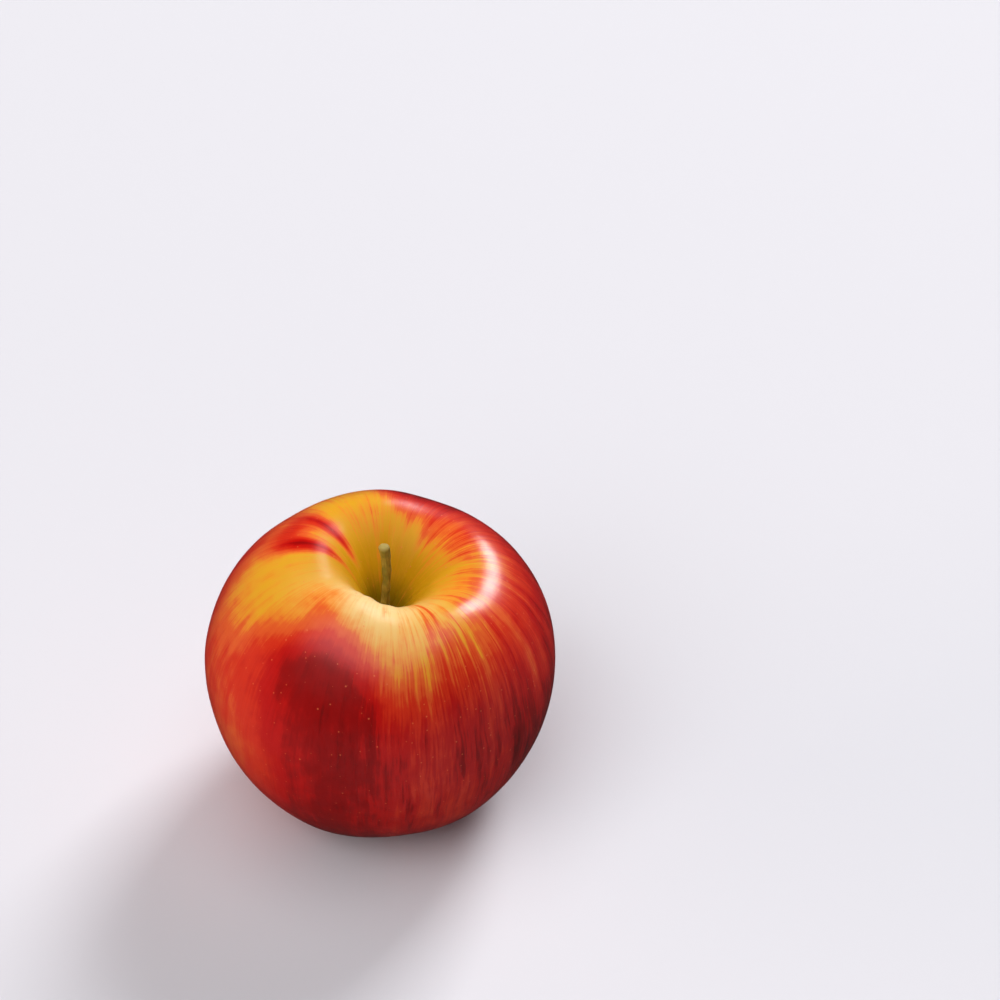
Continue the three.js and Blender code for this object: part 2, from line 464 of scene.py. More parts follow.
@dataclass(frozen=True)
class Blush:
    """Where the skin is red: each side's own share, the patches that leaves or folds left, and a
    faint tinge all over the yellow shoulder. On the back right of the shoulder the red is deepened
    further as painted shadow. One patch at the cavity's front lip has a pale ground, partly the
    skin's own paler colour and partly a painted highlight.
    """

    sides: tuple[Side, ...] = (
        Side(-165, 0.31, 0.09, 0.42, 0.40),
        Side(-150, 0.275, 0.08, 0.52, 0.35),
        Side(-132, 0.245, 0.05, 0.80, 0.24),
        Side(-112, 0.235, 0.04, 0.90, 0.20),
        Side(-98, 0.27, 0.06, 0.80, 0.30),
        Side(-86, 0.31, 0.10, 0.68, 0.65),
        Side(-70, 0.27, 0.13, 0.64, 0.95),
        Side(-45, 0.275, 0.14, 0.74, 0.80),
        Side(-20, 0.24, 0.12, 0.80, 0.75),
        Side(0, 0.245, 0.10, 0.74, 0.80),
        Side(30, 0.22, 0.09, 0.78, 0.80),
        # Sides 60 and 86 are a deep blush, and their red is also deepened and carried up to the crest as
        # painted shadow on the back right of the shoulder.
        Side(60, 0.205, 0.06, 0.92, 0.55),
        Side(86, 0.215, 0.04, 0.86, 0.60),
        Side(100, 0.28, 0.06, 0.66, 0.65),
        Side(122, 0.28, 0.07, 0.60, 0.65),
        Side(140, 0.26, 0.08, 0.62, 0.55),
        Side(158, 0.24, 0.08, 0.60, 0.50),
        Side(178, 0.33, 0.10, 0.46, 0.40),
    )
    patches: tuple[Patch, ...] = (
        Patch(167, 0.195, 7, 0.045, 0.72),
        Patch(153, 0.225, 12, 0.02, 0.28),
        Patch(138, 0.185, 5, 0.05, 0.62),
        Patch(145, 0.19, 14, 0.05, 0.16),
        Patch(105, 0.185, 22, 0.03, 0.08),
        Patch(-136, 0.205, 16, 0.03, 0.20),
        Patch(12, 0.185, 14, 0.022, 0.14),
        Patch(45, 0.175, 10, 0.025, 0.16),
        Patch(-100, 0.40, 8, 0.10, 0.06),
        Patch(-128, 0.31, 8, 0.04, 0.08),
        Patch(-136, 0.52, 16, 0.13, -0.24),
        Patch(-22, 0.35, 12, 0.07, -0.24),
        Patch(-46, 0.50, 20, 0.11, 0.05),
    )
    # The pale ground at the cavity's front lip: partly the skin's own paler colour, partly a painted
    # highlight.
    pale: Patch = Patch(-102, 0.17, 42, 0.055, 0.95)
    tinge: float = 0.06
    tinge_start: float = 0.10
    tinge_end: float = 0.20
    basin_start: float = 0.80
    basin_end: float = 0.94
    basin_pigment: float = 0.08
    smoothing: float = 7.0

    def around(self, name: str, angle: np.ndarray) -> np.ndarray:
        """Looks up one of the sides' values, passing smoothly from side to side.

        Args:
            name: the field of Side.
            angle: each point's angle round the core.

        Returns:
            The value at each point.
        """
        angles = [side.angle for side in self.sides]
        values = [getattr(side, name) for side in self.sides]
        turned = [np.interp(angle + step, angles, values, period=360)
                  for step in (-self.smoothing, 0, self.smoothing)]
        return sum(turned) / 3

    def on(self, angle: np.ndarray, descent: np.ndarray) -> tuple[np.ndarray, np.ndarray]:
        """Gives the skin's red pigment and how streaky it is.

        Args:
            angle: each point's angle round the core.
            descent: each point's share of the way from stem to calyx.

        Returns:
            The pigment and the streaks, both from 0 to about 1.
        """
        climb, fade = self.around("climb", angle), self.around("fade", angle)
        rise = np.clip((descent - climb + fade) / (2 * fade), 0, 1)
        tinge = self.tinge * ease(descent, self.tinge_start, self.tinge_end)
        full = self.around("pigment", angle)
        pigment = tinge + (full - tinge) * rise * rise * (3 - 2 * rise)
        pigment += sum(patch.on(angle, descent) for patch in self.patches)
        basin = ease(descent, self.basin_start, self.basin_end)
        pigment = pigment * (1 - basin) + self.basin_pigment * basin
        return pigment, self.around("streaks", angle)


# --- Finishes ---------------------------------------------------------------------------------------


@dataclass(frozen=True)
class Streaks:
    """One layer of streaks: how wide at the cheek, how long as a share of the way from stem to
    calyx, how strong, and how many finer layers of noise it has.
    """

    width_mm: float
    length: float
    strength: float
    detail: float = 2.0

    def drawn(self, tree: bpy.types.NodeTree, grown: bpy.types.Node,
              cheek_radius_mm: float) -> bpy.types.Node:
        """Adds noise drawn out along the way the fruit grew.

        Args:
            tree: the material's node tree.
            grown: the place on the fruit's map, as the cosine and the sine of the angle round the
                core and the share of the way from stem to calyx.
            cheek_radius_mm: the fruit's radius where the streaks are widest.

        Returns:
            The noise node, from 0 to 1.
        """
        around = cheek_radius_mm / self.width_mm
        stretched = add(tree, "VectorMath", {0: grown, 1: (around, around, 1 / self.length)},
                        operation="MULTIPLY")
        return add(tree, "TexNoise", {"Vector": stretched, "Scale": 1.0, "Detail": self.detail,
                                      "Roughness": 0.55})


@dataclass(frozen=True)
class WaxedSkin:
    """Apple skin: a yellow ground under red pigment laid down in streaks, polished and waxed.

    The fruit grows its colour from the stem to the calyx, so every streak runs that way and they
    crowd together at both ends. The wax gives it a soft, broad gloss, which is missing in the stem
    cavity, where no brush reaches. Skin and wax bend light alike, so the skin under the wax hardly
    shines by itself. The breathing pores are small pale dots. Green stays longest at the bottom of
    the cavity.
    """

    cheek_radius_mm: float = 39.0
    layers: tuple[Streaks, ...] = (
        Streaks(5.5, 0.35, 0.60),
        Streaks(2.0, 0.22, 0.65),
        Streaks(0.5, 0.08, 0.60),
    )
    wander_size_mm: float = 14.0
    wander: float = 0.05
    mottle_size_mm: float = 3.0
    mottle: float = 0.22
    pigment_hides: float = 0.3
    # The colour of the pale lip patch, which is partly a painted highlight.
    pale_lip_and_highlight_colour: str = "#f5d89c"
    russet_rays: Streaks = Streaks(7.0, 0.05, 1.0, 4.0)
    russet_colour: str = "#8c6a32"
    russet_share: float = 0.55
    russet_full_until: float = 0.02
    russet_ends: float = 0.13
    russet_cracks: tuple[float, float] = (0.36, 0.55)
    pore_spacing_mm: float = 1.5
    pore_radius_mm: float = 0.26
    pore_smallest: float = 0.4
    pore_core: float = 0.45
    pore_share: float = 0.55
    pore_colour: str = "#ea7c4a"
    film_size_mm: float = 6.0  # the wax film is a little thicker here and there
    grain_size_mm: float = 0.9
    relief_mm: float = 0.07
    roughness: tuple[float, float] = (0.34, 0.43)
    wax_coat: float = 1.0
    bare_coat: float = 0.05
    dull_until: float = 0.19
    polished_from: float = 0.235
    ground: tuple[tuple[float, str], ...] = (
        (0.00, "#5c4c02"),
        (0.07, "#987808"),
        (0.12, "#c8920e"),
        (0.17, "#da9c1e"),
        (0.25, "#e2a420"),
        (0.45, "#e2a02c"),
        (0.80, "#d8a030"),
        (1.00, "#9c8426"),
    )
    pigment: tuple[tuple[float, str], ...] = (
        (0.00, "#eca63a"),
        (0.18, "#e88628"),
        (0.34, "#e05a24"),
        (0.50, "#d42e12"),
        (0.70, "#be0a04"),
        (0.86, "#960302"),
        (1.00, "#720402"),
    )

    def swayed(self, tree: bpy.types.NodeTree, here: bpy.types.NodeSocket,
               growth: bpy.types.NodeSocket) -> bpy.types.Node:
        """Lets the map wander a little from side to side, as streaks do.

        Args:
            tree: the material's node tree.
            here: the place on the object.
            growth: the place on the fruit's map.

        Returns:
            The node that gives the moved place on the map.
        """
        noise_node = add(tree, "TexNoise", {"Vector": here, "Detail": 1.0,
                                            "Scale": 1 / (self.wander_size_mm * MM)})
        centred = add(tree, "VectorMath", {0: noise_node.outputs["Color"], 1: (MIDDLE,) * 3},
                      operation="SUBTRACT")
        return add(tree, "VectorMath", {0: centred, 1: (self.wander, self.wander, 0.0), 2: growth},
                   operation="MULTIPLY_ADD")

    def coloured(self, tree: bpy.types.NodeTree, here: bpy.types.NodeSocket,
                 descent: bpy.types.NodeSocket, streaks: Sequence[bpy.types.Node]) -> bpy.types.Node:
        """Lays the red pigment over the yellow ground.

        Args:
            tree: the material's node tree.
            here: the place on the object.
            descent: the share of the way from stem to calyx.
            streaks: the streaks' noise, a node for each layer.

        Returns:
            The node that gives the colour.
        """
        blush = add(tree, "Attribute", attribute_name="blush").outputs["Fac"]
        streaky = add(tree, "Attribute", attribute_name="streaks").outputs["Fac"]
        pale = add(tree, "Attribute", attribute_name="pale").outputs["Fac"]
        drawn = -MIDDLE * sum(layer.strength for layer in self.layers)
        for layer, streak in zip(self.layers, streaks):
            drawn = add(tree, "Math", {0: streak, 1: layer.strength, 2: drawn}, operation="MULTIPLY_ADD")
        mottle = add(tree, "TexNoise", {"Vector": here, "Scale": 1 / (self.mottle_size_mm * MM),
                                        "Detail": 3.0})
        spotted = add(tree, "Math", {0: mottle, 1: self.mottle, 2: -MIDDLE * self.mottle},
                      operation="MULTIPLY_ADD")
        amount = add(tree, "Math", {0: drawn, 1: streaky, 2: blush}, operation="MULTIPLY_ADD")
        amount = add(tree, "Math", {0: amount, 1: spotted}, operation="ADD")
        cover = add(tree, "MapRange", {"Value": amount, "From Min": 0.0, "From Max": self.pigment_hides},
                    interpolation_type="SMOOTHSTEP")
        ground = add(tree, "ValToRGB", {"Fac": descent}, self.ground)
        # The pale attribute lightens the ground at the cavity's front lip: partly the skin's own paler
        # colour, partly painted highlight.
        ground = add(tree, "Mix", {SHARE: pale, UNDER: ground, OVER: linear(self.pale_lip_and_highlight_colour)},
                     data_type="RGBA")
        red = add(tree, "ValToRGB", {"Fac": amount}, self.pigment)
        return add(tree, "Mix", {SHARE: cover, UNDER: ground, OVER: red}, data_type="RGBA")

    def russeted(self, tree: bpy.types.NodeTree, grown: bpy.types.Node,
                 descent: bpy.types.NodeSocket, skin: bpy.types.Node) -> bpy.types.Node:
        """Adds tan russet, cracked in rays, that creeps up from the stem.

        Args:
            tree: the material's node tree.
            grown: the place on the fruit's map.
            descent: the share of the way from stem to calyx.
            skin: the colour under it.

        Returns:
            The node that gives the colour.
        """
        rays = self.russet_rays.drawn(tree, grown, self.cheek_radius_mm)
        near = add(tree, "MapRange", {"Value": descent, "From Min": self.russet_full_until,
                                      "From Max": self.russet_ends, "To Min": 1.0, "To Max": 0.0},
                   interpolation_type="SMOOTHSTEP")
        amount = add(tree, "Math", {0: rays, 1: near}, operation="MULTIPLY")
        share = add(tree, "MapRange", {"Value": amount, "From Min": self.russet_cracks[0],
                                       "From Max": self.russet_cracks[1],
                                       "To Max": self.russet_share}, interpolation_type="SMOOTHSTEP")
        return add(tree, "Mix", {SHARE: share, UNDER: skin, OVER: linear(self.russet_colour)},
                   data_type="RGBA")

    def pores(self, tree: bpy.types.NodeTree, here: bpy.types.NodeSocket) -> bpy.types.Node:
        """Adds the breathing pores, dots of mixed sizes.

        Args:
            tree: the material's node tree.
            here: the place on the object.

        Returns:
            The node that gives 1 in a pore and 0 outside.
        """
        cells = add(tree, "TexVoronoi", {"Vector": here, "Scale": 1 / (self.pore_spacing_mm * MM)})
        chance = add(tree, "SeparateXYZ", {0: cells.outputs["Color"]})
        edge = self.pore_radius_mm / self.pore_spacing_mm
        reach = add(tree, "MapRange", {"Value": chance, "From Min": 0.1, "From Max": 1.0,
                                       "To Min": self.pore_smallest * edge, "To Max": edge},
                    interpolation_type="SMOOTHSTEP")
        away = add(tree, "Math", {0: cells.outputs["Distance"], 1: reach}, operation="DIVIDE")
        return add(tree, "MapRange", {"Value": away, "From Min": self.pore_core, "From Max": 1.0,
                                      "To Min": 1.0, "To Max": 0.0}, interpolation_type="SMOOTHSTEP")

    def relief(self, tree: bpy.types.NodeTree, here: bpy.types.NodeSocket,
               streaks: Sequence[bpy.types.Node], pores: bpy.types.Node) -> bpy.types.Node:
        """Adds the skin's fine relief: its grain, its narrower streaks and the pit in each pore.

        Args:
            tree: the material's node tree.
            here: the place on the object.
            streaks: the streaks' noise, a node for each layer.
            pores: the pores.

        Returns:
            The node that gives the normal.
        """
        grain = add(tree, "TexNoise", {"Vector": here, "Scale": 1 / (self.grain_size_mm * MM),
                                       "Detail": 2.0})
        pitted = add(tree, "Math", {0: grain, 1: pores}, operation="SUBTRACT")
        height = add(tree, "Math", {0: streaks[1], 1: streaks[2]}, operation="ADD")
        height = add(tree, "Math", {0: pitted, 1: 0.5, 2: height}, operation="MULTIPLY_ADD")
        return add(tree, "Bump", {"Height": height, "Strength": 0.4, "Distance": self.relief_mm * MM})

    def material(self) -> bpy.types.Material:
        """Makes the material.

        Returns:
            The finished material.
        """
        material, tree = new_material("waxed_apple_skin")
        here = add(tree, "TexCoord").outputs["Object"]
        growth = add(tree, "Attribute", attribute_name="growth").outputs["Vector"]
        descent = add(tree, "SeparateXYZ", {0: growth}).outputs["Z"]
        grown = self.swayed(tree, here, growth)
        streaks = [layer.drawn(tree, grown, self.cheek_radius_mm) for layer in self.layers]
        skin = self.coloured(tree, here, descent, streaks)
        skin = self.russeted(tree, grown, descent, skin)
        pores = self.pores(tree, here)
        dots = add(tree, "Math", {0: pores, 1: self.pore_share}, operation="MULTIPLY")
        skin = add(tree, "Mix", {SHARE: dots, UNDER: skin, OVER: linear(self.pore_colour)},
                   data_type="RGBA")
        normal = self.relief(tree, here, streaks, pores)

        film = add(tree, "TexNoise", {"Vector": here, "Scale": 1 / (self.film_size_mm * MM),
                                      "Detail": 2.0})
        rough = add(tree, "MapRange", {"Value": film, "From Min": 0.3, "From Max": 0.7,
                                       "To Min": self.roughness[0], "To Max": self.roughness[1]},
                    interpolation_type="SMOOTHSTEP")
        wax = add(tree, "MapRange", {"Value": descent, "From Min": self.dull_until,
                                     "From Max": self.polished_from, "To Min": self.bare_coat,
                                     "To Max": self.wax_coat}, interpolation_type="SMOOTHSTEP")
        shader = add(tree, "BsdfPrincipled", {
            "Base Color": skin,
            "Roughness": rough,
            "IOR": 1.42,
            "Specular IOR Level": 0.1,
            "Subsurface Weight": 0.1,
            "Subsurface Radius": (1.0, 0.4, 0.15),
            "Subsurface Scale": 1.5 * MM,
            "Coat Weight": wax,
            "Coat Roughness": 0.29,
            "Coat IOR": 1.5,
            "Normal": normal,
            "Coat Normal": normal,
        })
        add(tree, "OutputMaterial", {"Surface": shader})
        return material


@dataclass(frozen=True)
class StemBark:
    """Young bark of a fruit stalk: dull, olive brown, with fine grooves along it and a pale end.

    The bark stays green lowest down, where it is youngest. The end is where the stalk came away
    from the twig, so its bare wood shows there.
    """

    groove_mm: float = 0.35
    blotch_mm: float = 2.5
    relief_mm: float = 0.08
    roughness: float = 0.72
    bark: tuple[tuple[float, str], ...] = ((0.25, "#6e5818"), (0.50, "#9a8430"), (0.75, "#baa54c"))
    stretch: float = 0.12
    green: str = "#7c7428"
    green_blotches: tuple[float, float] = (0.4, 0.7)
    young_green: str = "#7d7a1e"
    young_share: float = 0.7
    young_until: float = 0.25
    bare_wood: str = "#a8924a"
    cut_from: float = 0.965
    cut_full: float = 0.985

    def material(self) -> bpy.types.Material:
        """Makes the material.

        Returns:
            The finished material.
        """
        material, tree = new_material("stem_bark")
        here = add(tree, "TexCoord").outputs["Object"]
        along = add(tree, "Attribute", attribute_name="along").outputs["Fac"]
        drawn_out = add(tree, "VectorMath", {0: here, 1: (1.0, 1.0, self.stretch)}, operation="MULTIPLY")
        fibre = add(tree, "TexNoise", {"Vector": drawn_out, "Detail": 4.0,
                                       "Scale": 1 / (self.groove_mm * MM)})
        blotch = add(tree, "TexNoise", {"Vector": here, "Scale": 1 / (self.blotch_mm * MM), "Detail": 2.0})
        bark = add(tree, "ValToRGB", {"Fac": fibre}, self.bark)
        mossy = add(tree, "MapRange", {"Value": blotch, "From Min": self.green_blotches[0],
                                       "From Max": self.green_blotches[1]},
                    interpolation_type="SMOOTHSTEP")
        bark = add(tree, "Mix", {SHARE: mossy, UNDER: bark, OVER: linear(self.green)}, data_type="RGBA")
        low = add(tree, "MapRange", {"Value": along, "From Min": 0.0, "From Max": self.young_until,
                                     "To Min": self.young_share, "To Max": 0.0},
                  interpolation_type="SMOOTHSTEP")
        bark = add(tree, "Mix", {SHARE: low, UNDER: bark, OVER: linear(self.young_green)},
                   data_type="RGBA")
        cut = add(tree, "MapRange", {"Value": along, "From Min": self.cut_from, "From Max": self.cut_full},
                  interpolation_type="SMOOTHSTEP")
        bark = add(tree, "Mix", {SHARE: cut, UNDER: bark, OVER: linear(self.bare_wood)},
                   data_type="RGBA")
        bump = add(tree, "Bump", {"Height": fibre, "Strength": 0.6, "Distance": self.relief_mm * MM})
        shader = add(tree, "BsdfPrincipled", {"Base Color": bark, "Roughness": self.roughness,
                                              "IOR": 1.45, "Normal": bump})
        add(tree, "OutputMaterial", {"Surface": shader})
        return material


@dataclass(frozen=True)
class DriedSepal:
    """A withered sepal: brown, brittle leaf, dull, with grey down that pales it from the side."""

    vein_mm: float = 0.5
    stretch: float = 0.3
    relief_mm: float = 0.12
    roughness: float = 0.88
    leaf: tuple[tuple[float, str], ...] = ((0.30, "#42290f"), (0.50, "#74522a"), (0.72, "#a88f66"))

    def material(self) -> bpy.types.Material:
        """Makes the material.

        Returns:
            The finished material.
        """
        material, tree = new_material("dried_sepal")
        here = add(tree, "TexCoord").outputs["Object"]
        drawn_out = add(tree, "VectorMath", {0: here, 1: (1.0, 1.0, self.stretch)}, operation="MULTIPLY")
        veins = add(tree, "TexNoise", {"Vector": drawn_out, "Detail": 4.0,
                                       "Scale": 1 / (self.vein_mm * MM)})
        leaf = add(tree, "ValToRGB", {"Fac": veins}, self.leaf)
        bump = add(tree, "Bump", {"Height": veins, "Strength": 0.7, "Distance": self.relief_mm * MM})
        shader = add(tree, "BsdfPrincipled", {"Base Color": leaf, "Roughness": self.roughness,
                                              "Sheen Weight": 0.4, "Sheen Roughness": 0.5,
                                              "Normal": bump})
        add(tree, "OutputMaterial", {"Surface": shader})
        return material


@dataclass(frozen=True)
class DriedStamen:
    """Withered flower threads: thin, dry and almost black, with rusty spots."""

    spot_mm: float = 0.6
    roughness: float = 0.85
    thread: tuple[tuple[float, str], ...] = ((0.35, "#20140b"), (0.55, "#4a3019"), (0.70, "#7a5a33"))

    def material(self) -> bpy.types.Material:
        """Makes the material.

        Returns:
            The finished material.
        """
        material, tree = new_material("dried_stamen")
        here = add(tree, "TexCoord").outputs["Object"]
        spots = add(tree, "TexNoise", {"Vector": here, "Scale": 1 / (self.spot_mm * MM), "Detail": 2.0})
        thread = add(tree, "ValToRGB", {"Fac": spots}, self.thread)
        shader = add(tree, "BsdfPrincipled", {"Base Color": thread, "Roughness": self.roughness})
        add(tree, "OutputMaterial", {"Surface": shader})
        return material


# --- The fruit --------------------------------------------------------------------------------------


@dataclass
class Fruit:
    """The flesh and skin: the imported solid, smoothed, with the small unevenness of a grown fruit."""

    growth: Growth
    levels: int = 2
    weld_mm: float = 0.001
    lumps: Unevenness = Unevenness(0.22, 17.0 * MM)
    swells: Unevenness = Unevenness(0.05, 6.0 * MM, 7.3)
    facets: Unevenness = Unevenness(0.16, (0.33, 0.33, 240.0), 3.1)
    folds: Unevenness = Unevenness(0.28, (0.2, 0.2, 120.0), 5.7)
    shoulder_lift: tuple[float, float] = (-40.0, 50.0)
    cavity_lift: tuple[float, float] = (84.0, 112.0)
    foot_lift: tuple[float, float] = (134.0, 146.0)
    basin_lift: tuple[float, float] = (-112.0, -92.0)
    basin_fold_mm: float = 0.3
    basin_folds: int = 10
    foot_mm: float = 0.5
    seat_radius_mm: float = 2.4
    seat_depth_mm: float = 1.0
    seat_left_mm: float = 0.4
    blush: Blush = field(default_factory=Blush)

    def build(self) -> bpy.types.Object:
        """Models the fruit.

        Returns:
            The fruit's mesh, not dressed yet.
        """
        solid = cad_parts["fruit"]
        mesh = bpy.data.meshes.new_from_object(solid)
        fruit = bpy.data.objects.new("apple_fruit", mesh)
        bpy.context.collection.objects.link(fruit)
        with editing(fruit):
            bpy.ops.mesh.remove_doubles(threshold=self.weld_mm * MM)
            bpy.ops.mesh.tris_convert_to_quads()
        self.close_seat(fruit)
        apply_subdivision(fruit, self.levels)
        self.roughen(fruit)
        return fruit

    def close_seat(self, fruit: bpy.types.Object) -> None:
        """Raises the floor of the stem's seat, because grown flesh closes round its stem.

        Args:
            fruit: the fruit's mesh.
        """
        points = points_of(fruit)
        stem = points_of(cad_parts["stem"])
        low = stem[:, 2].min()
        foot = stem[stem[:, 2] < low + self.foot_mm * MM].mean(0)
        away = np.hypot(points[:, 0] - foot[0], points[:, 1] - foot[1])
        in_seat = (away < self.seat_radius_mm * MM) & (points[:, 2] > low - self.seat_depth_mm * MM)
        mouth = points[in_seat, 2].max()
        points[in_seat, 2] = np.maximum(points[in_seat, 2], mouth - self.seat_left_mm * MM)
        set_points(fruit, points)

    def roughen(self, fruit: bpy.types.Object) -> None:
        """Moves the skin in and out: lumps, facets, and folds in the cavity and the basin.

        Args:
            fruit: the fruit's mesh.
        """
        points = points_of(fruit)
        angle, lift = self.growth.locate(points)
        turn = np.radians(angle)
        grown = np.column_stack([np.cos(turn), np.sin(turn), lift])
        in_cavity = ease(lift, *self.cavity_lift) * (1 - ease(lift, *self.foot_lift))
        on_shoulder = ease(lift, *self.shoulder_lift) * (1 - in_cavity)
        in_basin = 1 - ease(lift, *self.basin_lift)
        move = self.lumps.at(points) + self.swells.at(points)
        move += on_shoulder * self.facets.at(grown) + in_cavity * self.folds.at(grown)
        move += in_basin * self.basin_fold_mm * MM * np.cos(self.basin_folds * turn)
        points += normals_of(fruit) * move[:, None]
        points[:, 2] = np.maximum(points[:, 2], 0)
        set_points(fruit, points)

    def dress(self, fruit: bpy.types.Object) -> None:
        """Maps the fruit's growth and its blush on the skin, and gives it its finish.

        Args:
            fruit: the fruit's mesh.
        """
        angle, lift = self.growth.locate(points_of(fruit))
        turn, descent = np.radians(angle), self.growth.descent(lift)
        pigment, streaks = self.blush.on(angle, descent)
        add_attribute(fruit, "growth", np.column_stack([np.cos(turn), np.sin(turn), descent]))
        add_attribute(fruit, "blush", pigment)
        # The pale patch at the cavity's front lip is partly a painted highlight.
        add_attribute(fruit, "pale", self.blush.pale.on(angle, descent))
        add_attribute(fruit, "streaks", streaks)
        place(fruit, WaxedSkin().material(), Slot.SKIN, "fruit")


# --- The stem ---------------------------------------------------------------------------------------


@dataclass
class Stem:
    """The woody stalk: a foot that the flesh hugs, a slim waist, a bud scar and a clubbed end."""

    sides: int = 20
    slices: int = 9
    levels: int = 2
    stations: tuple[tuple[float, float], ...] = (
        (0.00, 2.2),
        (0.09, 2.5),
        (0.13, 2.2),
        (0.18, 1.6),
        (0.26, 1.15),
        (0.40, 0.98),
        (0.55, 0.92),
        (0.66, 0.95),
        (0.71, 1.12),
        (0.76, 0.98),
        (0.85, 1.0),
        (0.90, 1.15),
        (0.94, 1.3),
        (0.968, 1.2),
        (0.98, 0.8),
    )
    bends: int = 3
    grooves: Unevenness = Unevenness(0.10, (0.6 * MM, 0.6 * MM, 7.0 * MM), 2.2)
    knots: Unevenness = Unevenness(0.18, 1.6 * MM, 4.4)
    sway_x: Unevenness = Unevenness(0.28, 6.0 * MM, 8.1)
    sway_y: Unevenness = Unevenness(0.28, 6.0 * MM, 3.6)

    def route(self) -> list[Vector]:
        """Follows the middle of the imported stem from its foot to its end.

        Returns:
            A point for each station.
        """
        points = points_of(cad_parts["stem"])
        low, high = points[:, 2].min(), points[:, 2].max()
        heights = np.linspace(low, high, self.slices)
        half = (high - low) / self.slices
        middles = []
        for height in heights:
            near = points[np.abs(points[:, 2] - height) < half]
            middles.append(((near.min(0) + near.max(0)) / 2)[:2])
        middles = np.array(middles)
        curve_x = np.polyfit(heights, middles[:, 0], self.bends)
        curve_y = np.polyfit(heights, middles[:, 1], self.bends)
        return [
            Vector((np.polyval(curve_x, z), np.polyval(curve_y, z), z))
            for z in (low + (high - low) * share for share, _ in self.stations)
        ]

    def build(self) -> bpy.types.Object:
        """Models the stem.

        Returns:
            The stem's mesh, not dressed yet.
        """
        radii = [radius_mm * MM for _, radius_mm in self.stations]
        stem = grow_stalk("apple_stem", self.route(), radii, self.sides)
        apply_subdivision(stem, self.levels)
        points = points_of(stem)
        points += normals_of(stem) * (self.grooves.at(points) + self.knots.at(points))[:, None]
        heights = np.column_stack([np.zeros(len(points)), np.zeros(len(points)), points[:, 2]])
        points[:, 0] += self.sway_x.at(heights)
        points[:, 1] += self.sway_y.at(heights)
        set_points(stem, points)
        return stem

    def dress(self, stem: bpy.types.Object) -> None:
        """Marks how far along the stem each point is, and gives it its bark.

        Args:
            stem: the stem's mesh.
        """
        height = points_of(stem)[:, 2]
        add_attribute(stem, "along", (height - height.min()) / np.ptp(height))
        place(stem, StemBark().material(), Slot.BARK, "stem")


# --- The calyx --------------------------------------------------------------------------------------


@dataclass(frozen=True)
class Hang:
    """How one sepal hangs: its length as a share of its pattern's, and its lean to one side."""

    length: float
    lean: float


